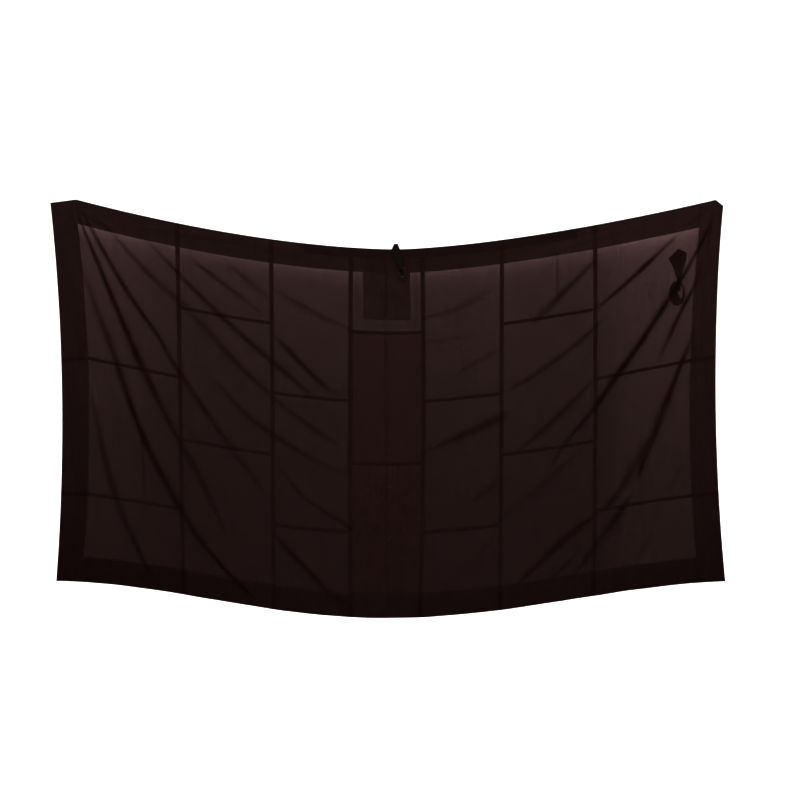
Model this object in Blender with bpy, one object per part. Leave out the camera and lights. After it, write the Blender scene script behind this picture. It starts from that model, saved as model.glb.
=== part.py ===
"""Seven-strip monk's robe of dark sheer cloth, held up by its two top corners.

The garment is one flat rectangle, sewn from seven upright strips of three pieces each, inside a
doubled border. It hangs in the X-Z plane: the viewer is at -Y, +Z is up, and the origin lies midway
between the two hands that hold the top corners. Every cloth piece is a wall that follows one hung
surface, which is worked out from the flat cut, the outline of the hung cloth and a table of folds.
"""

import math

import bpy
import numpy as np

MM = 0.001

# Flat cut of the finished robe, in metres
WIDTH = 2.041
HEIGHT = 1.135
SIDE_BORDER = 0.080
TOP_BORDER = 0.074
BOTTOM_BORDER = 0.075
STRIP_WIDTHS = (0.3065, 0.281, 0.240, 0.226, 0.240, 0.281, 0.3065)
LONG_PIECE = 0.4025
SHORT_PIECE = 0.1895

# Bands sewn over the seams, the neck strip and the neck patch
UPRIGHT_BAND = 13 * MM
CROSS_BAND = 10 * MM
COLLAR_DEPTH = 0.028
COLLAR_START = 0.7725
COLLAR_END = 1.5945
PATCH_HALF_WIDTH = 0.070
PATCH_BOTTOM = 0.219

# Walls: how far each layer's back and front lie in front of the middle of the cloth
PANEL_WALL = (-0.5 * MM, 0.5 * MM)
DOUBLED_PANEL_WALL = (-1.2 * MM, 0.5 * MM)
BORDER_WALL = (-1.0 * MM, 1.0 * MM)
ON_PANEL_WALL = (0.8 * MM, 1.8 * MM)
ON_BORDER_WALL = (1.3 * MM, 2.3 * MM)
SEAM_GAP = 0.3 * MM

# Grid that all cloth pieces share: the longest step across and down
STEP_ACROSS = 0.0285
STEP_DOWN = 0.0510

# Where the upright lines of the cut hang, in metres from the origin: side edges, inner edges of the
# borders and the six seams, left to right, each at the top, halfway down and at the bottom
UPRIGHT_LINES = (  # x_top, x_middle, x_bottom
    (-1.027, -0.992, -1.0095),
    (-0.953, -0.910, -0.931),
    (-0.653, -0.641, -0.631),
    (-0.371, -0.365, -0.361),
    (-0.131, -0.133, -0.131),
    (0.095, 0.099, 0.088),
    (0.335, 0.332, 0.327),
    (0.614, 0.614, 0.607),
    (0.928, 0.891, 0.918),
    (0.993, 0.970, 0.999),
)

# Outline of the hung cloth: the top edge sags between the hands, the bottom edge bows down
TOP_SAG, TOP_LOW_X = 0.1385, 0.010
TOP_LEFT_REACH, TOP_LEFT_POWER = 0.9165, 1.68
TOP_RIGHT_REACH, TOP_RIGHT_POWER = 0.916, 1.50
LEFT_CORNER_Z, LEFT_CORNER_SLOPE = 0.001, 0.128
RIGHT_CORNER_FROM, RIGHT_CORNER_DROP = 0.970, 0.024
BOTTOM_Z, BOTTOM_SAG, BOTTOM_SAG_POWER = -1.1345, 0.109, 1.9
BOTTOM_LOW_X, BOTTOM_LEFT_REACH, BOTTOM_RIGHT_REACH = -0.020, 1.005, 1.080
BELLY, BELLY_FROM = 0.022, 0.060

# Folds. Each runs from a start to an end point, x across and drop below the origin in millimetres.
# Its line bends by x ~ (share of the drop) ** bend. Height is towards the viewer, width the half-width.
FOLD_COLUMNS = ("x_start", "drop_start", "x_end", "drop_end", "bend", "height", "width")
FOLDS = (
    # fan below the left hand
    (-926, 75, -508, 955, 1.10, 9.0, 32),
    (-935, 170, -410, 1190, 1.60, 13.0, 36),
    (-905, 72, -390, 876, 1.00, 8.0, 32),
    (-836, 99, -362, 567, 1.15, 6.0, 32),
    (-725, 126, -374, 477, 1.00, 5.0, 32),
    (-914, 560, -700, 1150, 1.30, 8.0, 34),
    # swags from the left towards the middle
    (-428, 357, -110, 600, 1.00, 7.0, 32),
    (-353, 261, -90, 400, 1.27, 4.0, 34),
    (-503, 567, -90, 830, 1.35, 5.0, 34),
    (-344, 774, -90, 990, 1.40, 5.0, 34),
    (-344, 987, -100, 1220, 1.40, 8.0, 34),
    # fan below the right hand
    (935, 93, 478, 780, 1.14, 13.0, 34),
    (911, 250, 540, 1140, 1.55, 12.0, 34),
    (746, 720, 320, 1200, 1.35, 9.0, 34),
    (857, 96, 610, 320, 1.06, 5.0, 32),
    (653, 330, 320, 585, 1.25, 6.0, 32),
    (605, 540, 370, 755, 1.05, 5.0, 32),
    (536, 747, 320, 960, 1.18, 5.0, 32),
    # swags from the right towards the middle
    (341, 597, 80, 775, 1.35, 6.0, 38),
    (305, 262, 90, 352, 1.20, 4.0, 34),
    (305, 1002, 200, 1105, 1.10, 4.0, 32),
)
FOLD_FADE = 0.22

# Kite-shaped tab and ring behind the right top piece
RING_CENTRE = (0.8535, -0.2715)
RING_OUTER = (24 * MM, 37.5 * MM)
RING_HOLE = (7 * MM, 18.5 * MM)
RING_HOLE_OFFSET = (11 * MM, 5 * MM)
RING_THICKNESS = 5 * MM
RING_CHAMFER = 1.2 * MM
TAB_COLUMNS = ("x", "z", "half_width")
RING_TAB = (
    (0.856, -0.140, 4 * MM),
    (0.863, -0.157, 23 * MM),
    (0.855, -0.172, 26 * MM),
    (0.856, -0.195, 17 * MM),
    (0.857, -0.213, 8 * MM),
    (0.8612, -0.229, 3.3 * MM),
)
TAB_THICKNESS = 1.5 * MM
TAB_CLEARANCE = 0.5 * MM
TAB_REACH = 18 * MM

# Hook at the middle of the top edge, and the cloth tab that carries it over that edge
HOOK_RADIUS = 2.4 * MM
HOOK_BAR_LEFT_X, HOOK_BAR_Z = 0.020, -0.197
HOOK_WIDTH = 22 * MM
HOOK_SHANK = 14 * MM
HOOK_TIP_RISE = 7 * MM
HOOK_TAB_TOP_X = 0.010
HOOK_TAB_RISE = 16 * MM
HOOK_TAB_BACK_DROP = 32 * MM

# Finishes: colour, roughness
FINISHES = {
    "sheer_cloth": ((0.030, 0.017, 0.018), 0.85),
    "doubled_cloth": ((0.016, 0.007, 0.007), 0.85),
    "black_horn": ((0.010, 0.010, 0.010), 0.25),
}


def clear_scene():
    for thing in list(bpy.data.objects):
        bpy.data.objects.remove(thing)


def finish_named(name):
    material = bpy.data.materials.get(name)
    if material is None:
        colour, roughness = FINISHES[name]
        material = bpy.data.materials.new(name)
        material.use_nodes = True
        shader = material.node_tree.nodes["Principled BSDF"]
        shader.inputs["Base Color"].default_value = (*colour, 1)
        shader.inputs["Roughness"].default_value = roughness
        shader.inputs["Metallic"].default_value = 0
    return material


def add_solid(name, points, faces, finish):
    mesh = bpy.data.meshes.new(name)
    mesh.from_pydata([tuple(map(float, p)) for p in points], [], faces)
    mesh.materials.append(finish_named(finish))
    mesh.shade_smooth()
    mesh.set_sharp_from_angle(angle=math.radians(40))
    solid = bpy.data.objects.new(name, mesh)
    bpy.context.scene.collection.objects.link(solid)
    return solid


# The hung surface


def smoothstep(x):
    x = np.clip(x, 0.0, 1.0)
    return x * x * (3 - 2 * x)


def strip_edges():
    return SIDE_BORDER + np.concatenate([[0], np.cumsum(STRIP_WIDTHS)])


def top_edge(x):
    reach = np.where(x < TOP_LOW_X, TOP_LEFT_REACH, TOP_RIGHT_REACH)
    power = np.where(x < TOP_LOW_X, TOP_LEFT_POWER, TOP_RIGHT_POWER)
    sag = -TOP_SAG * (1 - (np.abs(x - TOP_LOW_X) / reach) ** power)
    left_corner = LEFT_CORNER_Z + LEFT_CORNER_SLOPE * (x - UPRIGHT_LINES[0][0])
    right_corner = np.clip((x - RIGHT_CORNER_FROM) / (UPRIGHT_LINES[-1][0] - RIGHT_CORNER_FROM), 0, 1)
    return np.minimum(sag, left_corner) - RIGHT_CORNER_DROP * right_corner


def bottom_edge(x):
    reach = np.where(x < BOTTOM_LOW_X, BOTTOM_LEFT_REACH, BOTTOM_RIGHT_REACH)
    hang = np.cos(math.pi / 2 * np.clip(np.abs(x - BOTTOM_LOW_X) / reach, 0, 1))
    return BOTTOM_Z - BOTTOM_SAG * hang**BOTTOM_SAG_POWER


def fold_depth(x, drop):
    """How far the folds bring the cloth towards the viewer at a place, in metres."""
    depth = np.zeros_like(x)
    for row in FOLDS:
        fold = dict(zip(FOLD_COLUMNS, row))
        long = (fold["drop_end"] - fold["drop_start"]) * MM
        reach = (fold["x_end"] - fold["x_start"]) * MM
        share = (drop - fold["drop_start"] * MM) / long
        inside = np.clip(share, 0.001, 1)
        line = fold["x_start"] * MM + reach * inside ** fold["bend"]
        slope = reach * fold["bend"] * inside ** (fold["bend"] - 1) / long
        away = (x - line) / np.sqrt(1 + slope**2)
        ends = smoothstep(share / FOLD_FADE) * smoothstep((1 - share) / FOLD_FADE)
        depth += fold["height"] * MM * ends * np.exp(-((away / (fold["width"] * MM)) ** 2))
    return depth


def hung(s, t):
    """Place of the flat cloth's point s across and t down, once the cloth hangs."""
    s, t = np.broadcast_arrays(np.asarray(s, float), np.asarray(t, float))
    flat_lines = [0, *strip_edges(), WIDTH]
    x_top, x_middle, x_bottom = (np.interp(s, flat_lines, line) for line in zip(*UPRIGHT_LINES))
    b = t / HEIGHT
    x = x_top * (1 - b) + x_bottom * b + 4 * b * (1 - b) * (x_middle - (x_top + x_bottom) / 2)
    z = top_edge(x_top) * (1 - b) + bottom_edge(x_bottom) * b
    belly = BELLY * smoothstep((t - BELLY_FROM) / HEIGHT) * np.sin(math.pi * s / WIDTH)
    return np.stack([x, -belly - fold_depth(x, -z), z], axis=-1)


def towards_viewer(s, t):
    """Unit normal of the hung surface, pointing towards -Y."""
    step = 1 * MM
    across = hung(s + step, t) - hung(s - step, t)
    down = hung(s, t + step) - hung(s, t - step)
    normal = np.cross(down, across)
    return normal / np.linalg.norm(normal, axis=-1, keepdims=True)


def layer(s, t, lift):
    """Points of the cloth at (s, t), lifted off its middle towards the viewer."""
    return hung(s, t) + towards_viewer(s, t) * lift


# The grid and the cloth walls


def cut_evenly(stops, longest):
    """The stops, with the stretches between them cut into equal steps."""
    stops = sorted(stops)
    lines = [stops[0]]
    for low, high in zip(stops, stops[1:]):
        steps = max(1, math.ceil((high - low) / longest - 1e-6))
        lines += [low + (high - low) * k / steps for k in range(1, steps + 1)]
    return np.array(lines)


def cross_seams(strip):
    """How far down the strip's two cross seams lie: the short piece is last in strips 1, 3, 5, 7."""
    pieces = (LONG_PIECE, LONG_PIECE) if strip % 2 == 0 else (SHORT_PIECE, LONG_PIECE)
    return TOP_BORDER + pieces[0], TOP_BORDER + pieces[0] + pieces[1]


def band_span(seam):
    """Where the band over upright seam 1 to 6 lies across: on the side nearer the middle strip."""
    edge = strip_edges()[seam]
    return (edge, edge + UPRIGHT_BAND) if seam <= 3 else (edge - UPRIGHT_BAND, edge)


def grid_lines():
    middle = WIDTH / 2
    across = [0, WIDTH, *strip_edges(), COLLAR_START, COLLAR_END]
    across += [middle - PATCH_HALF_WIDTH, middle + PATCH_HALF_WIDTH]
    across += [line for seam in range(1, 7) for line in band_span(seam)]
    seams = [*cross_seams(0), *cross_seams(1)]
    down = [0, COLLAR_DEPTH, TOP_BORDER, PATCH_BOTTOM, HEIGHT - BOTTOM_BORDER, HEIGHT]
    down += seams + [seam - CROSS_BAND for seam in seams]
    return (
        cut_evenly(sorted(set(np.round(across, 5))), STEP_ACROSS),
        cut_evenly(sorted(set(np.round(down, 5))), STEP_DOWN),
    )


ACROSS, DOWN = grid_lines()


def lines_between(lines, low, high, size):
    """The grid lines from low to high, with an edge that meets another piece drawn in by half a gap."""
    kept = lines[(lines > low - 1e-6) & (lines < high + 1e-6)].copy()
    if low > 1e-6:
        kept[0] += SEAM_GAP / 2
    if high < size - 1e-6:
        kept[-1] -= SEAM_GAP / 2
    return kept


def wall(name, s_span, t_span, lifts, finish):
    """A cloth piece: the part of the hung surface inside the two spans, as a closed wall."""
    s, t = np.meshgrid(
        lines_between(ACROSS, *s_span, WIDTH), lines_between(DOWN, *t_span, HEIGHT)
    )
    rows, columns = s.shape
    back, front = (layer(s, t, lift).reshape(-1, 3) for lift in lifts)
    half = rows * columns

    def at(i, j, side=0):
        return side * half + j * columns + i

    faces = []
    for j in range(rows - 1):
        for i in range(columns - 1):
            a, b, c, d = at(i, j), at(i, j + 1), at(i + 1, j + 1), at(i + 1, j)
            faces += [(a, b, c), (a, c, d)]
            faces += [(c + half, b + half, a + half), (d + half, c + half, a + half)]
    for i in range(columns - 1):
        faces.append((at(i, 0), at(i + 1, 0), at(i + 1, 0, 1), at(i, 0, 1)))
        low = rows - 1
        faces.append((at(i, low, 1), at(i + 1, low, 1), at(i + 1, low), at(i, low)))
    for j in range(rows - 1):
        faces.append((at(0, j), at(0, j, 1), at(0, j + 1, 1), at(0, j + 1)))
        right = columns - 1
        faces.append((at(right, j + 1), at(right, j + 1, 1), at(right, j, 1), at(right, j)))
    return add_solid(name, np.concatenate([front, back]), faces, finish)


def facet_y(s, t, lift):
    """Depth of the faceted cloth at (s, t), read off the triangles that the grid makes."""
    i = int(np.clip(np.searchsorted(ACROSS, s) - 1, 0, len(ACROSS) - 2))
    j = int(np.clip(np.searchsorted(DOWN, t) - 1, 0, len(DOWN) - 2))
    u = (s - ACROSS[i]) / (ACROSS[i + 1] - ACROSS[i])
    v = (t - DOWN[j]) / (DOWN[j + 1] - DOWN[j])
    a, b, c, d = (
        layer(ACROSS[i + di], DOWN[j + dj], lift)[1] for di, dj in ((0, 0), (0, 1), (1, 1), (1, 0))
    )
    return a + u * (c - b) + v * (b - a) if v > u else a + v * (c - d) + u * (d - a)


def flat_place(x, z):
    """The flat cloth's (s, t) that hangs at x and z, found by a few corrections."""
    s, t = x - UPRIGHT_LINES[0][0], -z
    for _ in range(30):
        miss_x, _, miss_z = hung(s, t) - (x, 0, z)
        s, t = np.clip(s - miss_x, 0, WIDTH), np.clip(t + miss_z, 0, HEIGHT)
    return s, t


def surface_y(x_span, z_span, lift, pick):
    """The foremost (pick=min) or hindmost (pick=max) depth of the faceted cloth in a patch."""
    across, up = np.linspace(*x_span, 9), np.linspace(*z_span, 7)
    return pick(facet_y(*flat_place(x, z), lift) for x in across for z in up)


# Cloth pieces


def build_strips():
    edges = strip_edges()
    bottom = HEIGHT - BOTTOM_BORDER
    for strip in range(7):
        stops = (TOP_BORDER, *cross_seams(strip), bottom)
        for row, place in enumerate(("top", "middle", "bottom")):
            doubled = strip == 3 and row > 0
            wall(
                f"strip_{strip + 1}_{place}",
                (edges[strip], edges[strip + 1]),
                (stops[row], stops[row + 1]),
                DOUBLED_PANEL_WALL if doubled else PANEL_WALL,
                "doubled_cloth" if doubled else "sheer_cloth",
            )


def build_bands():
    edges = strip_edges()
    for seam in range(1, 7):
        span = (TOP_BORDER, HEIGHT - BOTTOM_BORDER)
        wall(f"upright_band_{seam}", band_span(seam), span, ON_PANEL_WALL, "doubled_cloth")
    for strip in range(7):
        left = max([edges[strip]] + [band_span(k)[1] for k in (1, 2, 3) if k == strip])
        right = min([edges[strip + 1]] + [band_span(k)[0] for k in (4, 5, 6) if k == strip + 1])
        for number, seam in enumerate(cross_seams(strip), 1):
            name = f"cross_band_{strip + 1}_{number}"
            wall(name, (left, right), (seam - CROSS_BAND, seam), ON_PANEL_WALL, "doubled_cloth")


def build_border():
    inner = (SIDE_BORDER, WIDTH - SIDE_BORDER)
    sides = {
        "border_left": ((0, inner[0]), (0, HEIGHT)),
        "border_right": ((inner[1], WIDTH), (0, HEIGHT)),
        "border_top": (inner, (0, TOP_BORDER)),
        "border_bottom": (inner, (HEIGHT - BOTTOM_BORDER, HEIGHT)),
    }
    for name, (s_span, t_span) in sides.items():
        wall(name, s_span, t_span, BORDER_WALL, "doubled_cloth")


def build_neck():
    collar = (COLLAR_START, COLLAR_END)
    wall("neck_strip", collar, (0, COLLAR_DEPTH), ON_BORDER_WALL, "doubled_cloth")
    patch = (WIDTH / 2 - PATCH_HALF_WIDTH, WIDTH / 2 + PATCH_HALF_WIDTH)
    wall("neck_patch", patch, (TOP_BORDER, PATCH_BOTTOM), ON_PANEL_WALL, "doubled_cloth")


# Fastening


def loft(name, rings, finish, closed=False):
    """A solid through rings of points that all turn the same way. Open ends are capped."""
    count, sides = len(rings), len(rings[0])
    faces = []
    for k in range(count if closed else count - 1):
        here, there = k * sides, (k + 1) % count * sides
        for i in range(sides):
            j = (i + 1) % sides
            faces.append((here + i, here + j, there + j, there + i))
    if not closed:
        faces.append(tuple(range(sides))[::-1])
        faces.append(tuple((count - 1) * sides + i for i in range(sides)))
    solid = add_solid(name, [p for ring in rings for p in ring], faces, finish)
    volume_sign(solid)
    return solid


def volume_sign(solid):
    """Turns all faces over if they point inwards."""
    mesh = solid.data
    mesh.calc_loop_triangles()
    co = np.array([v.co for v in mesh.vertices])
    corners = np.array([co[list(tri.vertices)] for tri in mesh.loop_triangles])
    if np.linalg.det(corners).sum() < 0:
        mesh.flip_normals()


def ribbon(name, stations, finish):
    """A strap of cloth through (x, y, z, half_width), flat across X and as thick as the tab's cloth."""
    places = np.array([station[:3] for station in stations])
    along = np.gradient(places[:, 1:], axis=0)
    along /= np.linalg.norm(along, axis=1, keepdims=True)
    rings = []
    for (x, y, z, half_width), (dy, dz) in zip(stations, along):
        off_y, off_z = -dz * TAB_THICKNESS / 2, dy * TAB_THICKNESS / 2
        rings.append(
            [
                (x - half_width, y - off_y, z - off_z),
                (x + half_width, y - off_y, z - off_z),
                (x + half_width, y + off_y, z + off_z),
                (x - half_width, y + off_y, z + off_z),
            ]
        )
    return loft(name, rings, finish)


def rod(name, path, radii, sides, finish):
    """A round bar in a plane of constant y, along path points (x, y, z)."""
    path = np.array(path)
    along = np.gradient(path, axis=0)
    along /= np.linalg.norm(along, axis=1, keepdims=True)
    rings = []
    for centre, direction, radius in zip(path, along, radii):
        outwards = np.array([-direction[2], 0, direction[0]])
        ring = [
            centre
            + radius * (math.cos(angle) * outwards + math.sin(angle) * np.array([0, 1, 0]))
            for angle in (2 * math.pi * k / sides for k in range(sides))
        ]
        rings.append(ring)
    return loft(name, rings, finish)


def oval_top(x, centre, radii):
    """Height of an upright oval's upper edge at x."""
    return centre[1] + radii[1] * math.sqrt(1 - ((x - centre[0]) / radii[0]) ** 2)


def build_ring(y):
    """A flat oval ring, thicker on its left and below, with chamfered edges."""
    half, rim = RING_THICKNESS / 2, RING_CHAMFER
    rings = []
    for k in range(36):
        turn = 2 * math.pi * k / 36
        direction = np.array([math.cos(turn), math.sin(turn)])
        outer = np.array(RING_CENTRE) + direction * RING_OUTER
        inner = np.array(RING_CENTRE) + RING_HOLE_OFFSET + direction * RING_HOLE
        inwards = (inner - outer) / np.linalg.norm(inner - outer)
        section = [
            (outer, -half + rim),
            (outer + inwards * rim, -half),
            (inner - inwards * rim, -half),
            (inner, -half + rim),
            (inner, half - rim),
            (inner - inwards * rim, half),
            (outer + inwards * rim, half),
            (outer, half - rim),
        ]
        rings.append([(place[0], y + dy, place[1]) for place, dy in section])
    loft("ring", rings, "black_horn", closed=True)


def build_ring_and_tab():
    """The tab lies on the back of the right top piece, and its lower end goes round the ring."""
    half = TAB_THICKNESS / 2
    stations = []
    for row in RING_TAB:
        tab = dict(zip(TAB_COLUMNS, row))
        x_span = (tab["x"] - tab["half_width"], tab["x"] + tab["half_width"])
        z_span = (tab["z"] - TAB_REACH, tab["z"] + TAB_REACH)
        back = surface_y(x_span, z_span, PANEL_WALL[0], max)
        stations.append([tab["x"], back + TAB_CLEARANCE + half, tab["z"], tab["half_width"]])
    x_span = (RING_CENTRE[0] - RING_OUTER[0], RING_CENTRE[0] + RING_OUTER[0])
    z_span = (RING_CENTRE[1] - RING_OUTER[1], RING_CENTRE[1] + RING_OUTER[1])
    behind = surface_y(x_span, z_span, PANEL_WALL[0], max)
    lowest = max(behind + TAB_CLEARANCE + half, stations[-1][1])
    for share, station in zip((0, 0, 0.1, 0.5, 0.85, 1), stations):
        station[1] = max(station[1], station[1] + share * (lowest - station[1]))
    x, _, _, half_width = stations[-1]
    hole_centre = np.array(RING_CENTRE) + RING_HOLE_OFFSET
    across = (x - half_width, x, x + half_width)
    bar_top = max(oval_top(place, RING_CENTRE, RING_OUTER) for place in across)
    bar_bottom = min(oval_top(place, hole_centre, RING_HOLE) for place in across)
    turn_z = (bar_top - bar_bottom) / 2 + 8 * TAB_CLEARANCE + half
    turn_y = RING_THICKNESS / 2 + 3 * TAB_CLEARANCE + half
    centre_y, centre_z = lowest + turn_y, (bar_top + bar_bottom) / 2
    for degrees in range(0, 301, 30):
        angle = math.radians(degrees)
        y = centre_y - turn_y * math.cos(angle)
        stations.append([x, y, centre_z - turn_z * math.sin(angle), half_width])
    ribbon("ring_tab", stations, "doubled_cloth")
    build_ring(centre_y)


def hook_path(y):
    """The hook is one bent bar: a level top that the tab goes round, a shank, and a turned-up tip."""
    corner, turn = 4 * MM, HOOK_WIDTH / 2 - HOOK_RADIUS
    left, top = HOOK_BAR_LEFT_X, HOOK_BAR_Z
    right = left + 2 * turn
    points = [(left - 1 * MM, top), (left + 4 * MM, top), (right - corner - 3 * MM, top)]
    for degrees in range(90, -1, -30):
        angle = math.radians(degrees)
        points.append(
            (right - corner + corner * math.cos(angle), top - corner + corner * math.sin(angle))
        )
    low = top - corner - HOOK_SHANK
    for degrees in range(0, -181, -22):
        angle = math.radians(degrees)
        points.append((right - turn + turn * math.cos(angle), low + turn * math.sin(angle)))
    points += [(left, low + HOOK_TIP_RISE * 0.5), (left, low + HOOK_TIP_RISE)]
    return [(x, y, z) for x, z in points]


def build_hook_and_tab():
    """The tab is sewn on the back of the top border, stands up over the edge and carries the hook."""
    half = TAB_THICKNESS / 2
    edge_z = float(top_edge(HOOK_TAB_TOP_X))
    front_low = surface_y((0.0, 0.045), (-0.230, -0.150), ON_BORDER_WALL[1], min)
    back_high = surface_y((-0.010, 0.030), (-0.185, -0.148), BORDER_WALL[0], max)
    front_y = front_low - TAB_CLEARANCE - half
    back_y = back_high + TAB_CLEARANCE + half
    middle_y, loop = (front_y + back_y) / 2, (back_y - front_y) / 2
    top_x, crown = HOOK_TAB_TOP_X, edge_z + HOOK_TAB_RISE - loop
    stations = [
        [top_x, back_y, edge_z - HOOK_TAB_BACK_DROP, 17 * MM],
        [top_x, back_y, edge_z - 6 * MM, 15 * MM],
        [top_x, back_y, edge_z + 8 * MM, 10 * MM],
    ]
    for degrees in range(0, 181, 30):
        angle = math.radians(degrees)
        y, z = middle_y + loop * math.cos(angle), crown + loop * math.sin(angle)
        stations.append([top_x, y, z, 7 * MM])
    turn = HOOK_RADIUS + TAB_CLEARANCE + half
    bar_y = front_y - half - turn
    bar_x = HOOK_BAR_LEFT_X + 6 * MM
    stations += [
        [top_x + 1 * MM, front_y, edge_z - 1.5 * MM, 10 * MM],
        [top_x + 3 * MM, front_y, edge_z - 11.5 * MM, 17 * MM],
        [top_x + 6 * MM, front_y, edge_z - 23.5 * MM, 17 * MM],
        [top_x + 11 * MM, front_y - turn, edge_z - 39.5 * MM, 10 * MM],
    ]
    for degrees in range(0, 301, 30):
        angle = math.radians(degrees)
        y = bar_y - turn * math.cos(angle)
        stations.append([bar_x, y, HOOK_BAR_Z - turn * math.sin(angle), 4.2 * MM])
    ribbon("hook_tab", stations, "doubled_cloth")
    path = hook_path(bar_y)
    radii = [HOOK_RADIUS] * (len(path) - 2) + [HOOK_RADIUS * 0.9, HOOK_RADIUS * 0.45]
    rod("hook", path, radii, 10, "black_horn")


def main():
    clear_scene()
    build_strips()
    build_bands()
    build_border()
    build_neck()
    build_ring_and_tab()
    build_hook_and_tab()


main()
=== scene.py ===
"""Dressed model of the seven-strip monk's robe.

Every cloth piece is a thin shell on the same hung surface as the solids, with narrow creases, seam
puckers and soft waves added to it. Cloth, thread and horn have procedural materials.
"""

import math

import bpy
import numpy as np
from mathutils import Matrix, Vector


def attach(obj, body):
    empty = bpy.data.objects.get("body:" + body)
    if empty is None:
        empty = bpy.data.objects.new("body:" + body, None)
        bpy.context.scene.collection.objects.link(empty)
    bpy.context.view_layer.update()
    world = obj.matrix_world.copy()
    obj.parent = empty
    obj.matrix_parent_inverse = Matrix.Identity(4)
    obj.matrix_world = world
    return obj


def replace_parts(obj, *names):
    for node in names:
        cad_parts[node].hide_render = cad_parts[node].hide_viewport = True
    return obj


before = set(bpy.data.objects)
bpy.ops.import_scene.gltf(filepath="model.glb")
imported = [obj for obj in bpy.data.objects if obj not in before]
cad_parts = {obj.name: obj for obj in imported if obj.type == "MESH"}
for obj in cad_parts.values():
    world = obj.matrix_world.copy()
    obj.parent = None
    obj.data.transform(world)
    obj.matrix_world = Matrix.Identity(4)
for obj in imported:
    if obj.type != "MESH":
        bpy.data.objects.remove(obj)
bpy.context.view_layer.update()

MM = 0.001

# Flat cut of the robe in metres, as in the solids
WIDTH = 2.041
HEIGHT = 1.135
SIDE_BORDER = 0.080
TOP_BORDER = 0.074
BOTTOM_BORDER = 0.075
STRIP_WIDTHS = (0.3065, 0.281, 0.240, 0.226, 0.240, 0.281, 0.3065)
LONG_PIECE = 0.4025
SHORT_PIECE = 0.1895
UPRIGHT_BAND = 13 * MM
CROSS_BAND = 10 * MM
COLLAR_DEPTH = 0.028
COLLAR_SPAN = (0.7725, 1.5945)
PATCH_HALF_WIDTH = 0.070
PATCH_SPAN = (WIDTH / 2 - PATCH_HALF_WIDTH, WIDTH / 2 + PATCH_HALF_WIDTH)
PATCH_BOTTOM = 0.219
# The part of the cut inside the borders, across and down
INSIDE_S = (SIDE_BORDER, WIDTH - SIDE_BORDER)
INSIDE_T = (TOP_BORDER, HEIGHT - BOTTOM_BORDER)

# Where the upright lines of the cut hang, left to right, each at the top, halfway down, at the bottom
UPRIGHT_LINES = (
    (-1.027, -0.992, -1.0095),
    (-0.953, -0.910, -0.931),
    (-0.653, -0.641, -0.631),
    (-0.371, -0.365, -0.361),
    (-0.131, -0.133, -0.131),
    (0.095, 0.099, 0.088),
    (0.335, 0.332, 0.327),
    (0.614, 0.614, 0.607),
    (0.928, 0.891, 0.918),
    (0.993, 0.970, 0.999),
)

# Outline of the hung cloth
TOP_SAG, TOP_LOW_X = 0.1385, 0.010
TOP_LEFT_REACH, TOP_LEFT_POWER = 0.9165, 1.68
TOP_RIGHT_REACH, TOP_RIGHT_POWER = 0.916, 1.50
LEFT_CORNER_Z, LEFT_CORNER_SLOPE = 0.001, 0.128
RIGHT_CORNER_FROM, RIGHT_CORNER_DROP, CORNER_DROP_POWER = 0.970, 0.024, 8
BOTTOM_Z, BOTTOM_SAG, BOTTOM_SAG_POWER = -1.1345, 0.109, 1.9
BOTTOM_LOW_X, BOTTOM_LEFT_REACH, BOTTOM_RIGHT_REACH = -0.020, 1.005, 1.080
BELLY, BELLY_FROM = 0.022, 0.060

# Broad folds, as in the solids: x across and drop below the origin in millimetres
FOLD_COLUMNS = ("x_start", "drop_start", "x_end", "drop_end", "bend", "height", "width")
FOLDS = (
    # fan below the left hand
    (-926, 75, -508, 955, 1.10, 9.0, 32),
    (-935, 170, -410, 1190, 1.60, 13.0, 36),
    (-905, 72, -390, 876, 1.00, 8.0, 32),
    (-836, 99, -362, 567, 1.15, 6.0, 32),
    (-725, 126, -374, 477, 1.00, 5.0, 32),
    (-914, 560, -700, 1150, 1.30, 8.0, 34),
    # swags from the left towards the middle
    (-428, 357, -110, 600, 1.00, 7.0, 32),
    (-353, 261, -90, 400, 1.27, 4.0, 34),
    (-503, 567, -90, 830, 1.35, 5.0, 34),
    (-344, 774, -90, 990, 1.40, 5.0, 34),
    (-344, 987, -100, 1220, 1.40, 8.0, 34),
    # fan below the right hand
    (935, 93, 478, 780, 1.14, 13.0, 34),
    (911, 250, 540, 1140, 1.55, 12.0, 34),
    (746, 720, 320, 1200, 1.35, 9.0, 34),
    (857, 96, 610, 320, 1.06, 5.0, 32),
    (653, 330, 320, 585, 1.25, 6.0, 32),
    (605, 540, 370, 755, 1.05, 5.0, 32),
    (536, 747, 320, 960, 1.18, 5.0, 32),
    # swags from the right towards the middle
    (341, 597, 80, 775, 1.35, 6.0, 38),
    (305, 262, 90, 352, 1.20, 4.0, 34),
    (305, 1002, 200, 1105, 1.10, 4.0, 32),
)
FOLD_FADE = 0.22

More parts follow.
